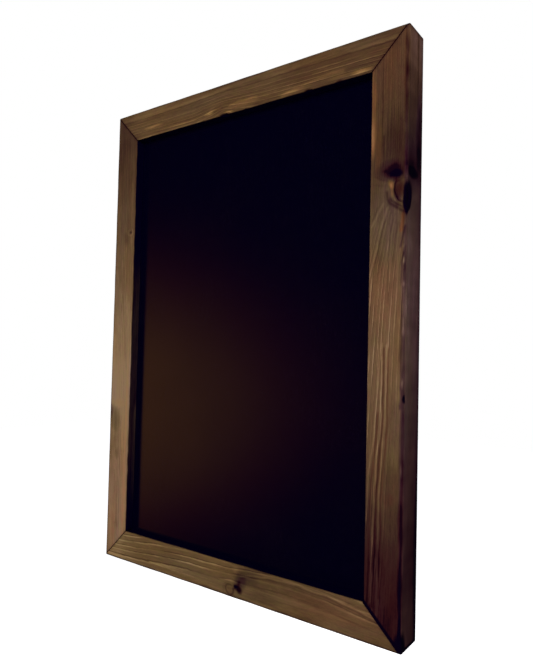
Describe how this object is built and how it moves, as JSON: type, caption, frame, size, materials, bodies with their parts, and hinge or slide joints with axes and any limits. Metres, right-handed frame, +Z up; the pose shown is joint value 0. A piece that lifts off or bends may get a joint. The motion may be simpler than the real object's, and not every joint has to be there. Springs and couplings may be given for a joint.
{
  "type": "wall chalkboard",
  "caption": "Tall wall chalkboard: a black writing panel set back in a mitred, stained pine frame that hangs by D-ring strap hangers on its back.",
  "frame": {"origin": "on the wall plane, midway between the two wall hooks, at the height where they carry the rings", "axes": "+X to the right seen from the front, +Y back into the wall, +Z up; the front faces -Y"},
  "size_m": [0.42, 0.0423, 0.594],
  "materials": {
    "stained_pine": "dark walnut stain on planed pine, thin satin wax",
    "chalk_black": "smooth black writing laminate, soft satin",
    "fibreboard": "raw medium density fibreboard",
    "zinc_steel": "bright zinc plated",
    "dark_steel": "oiled spring steel",
    "rubber": "black moulded rubber"
  },
  "bodies": {
    "frame": {"left_stile": "stained_pine", "right_stile": "stained_pine", "top_rail": "stained_pine", "bottom_rail": "stained_pine", "writing_surface": "chalk_black", "panel_core": "fibreboard", "left_stile_point_1": "zinc_steel", "left_stile_point_2": "zinc_steel", "left_stile_point_3": "zinc_steel", "left_stile_point_4": "zinc_steel", "right_stile_point_1": "zinc_steel", "right_stile_point_2": "zinc_steel", "right_stile_point_3": "zinc_steel", "right_stile_point_4": "zinc_steel", "top_rail_point_1": "zinc_steel", "top_rail_point_2": "zinc_steel", "top_rail_point_3": "zinc_steel", "bottom_rail_point_1": "zinc_steel", "bottom_rail_point_2": "zinc_steel", "bottom_rail_point_3": "zinc_steel", "top_left_wedge_nail_1": "dark_steel", "top_left_wedge_nail_2": "dark_steel", "top_right_wedge_nail_1": "dark_steel", "top_right_wedge_nail_2": "dark_steel", "bottom_right_wedge_nail_1": "dark_steel", "bottom_right_wedge_nail_2": "dark_steel", "bottom_left_wedge_nail_1": "dark_steel", "bottom_left_wedge_nail_2": "dark_steel", "left_hanger_strap": "zinc_steel", "left_hanger_screw_1": "zinc_steel", "left_hanger_screw_2": "zinc_steel", "right_hanger_strap": "zinc_steel", "right_hanger_screw_1": "zinc_steel", "right_hanger_screw_2": "zinc_steel", "left_bumper": "rubber", "right_bumper": "rubber"},
    "left_ring": {"left_hanger_ring": "zinc_steel"},
    "right_ring": {"right_hanger_ring": "zinc_steel"}
  },
  "joints": [
    {"name": "left_ring_swing", "type": "hinge", "parent": "frame", "child": "left_ring", "pos_m": [-0.19525, -0.0024, -0.0105], "axis": [1, 0, 0], "range_deg": [0, 180]},
    {"name": "right_ring_swing", "type": "hinge", "parent": "frame", "child": "right_ring", "pos_m": [0.19525, -0.0024, -0.0105], "axis": [1, 0, 0], "range_deg": [0, 180]}
  ]
}
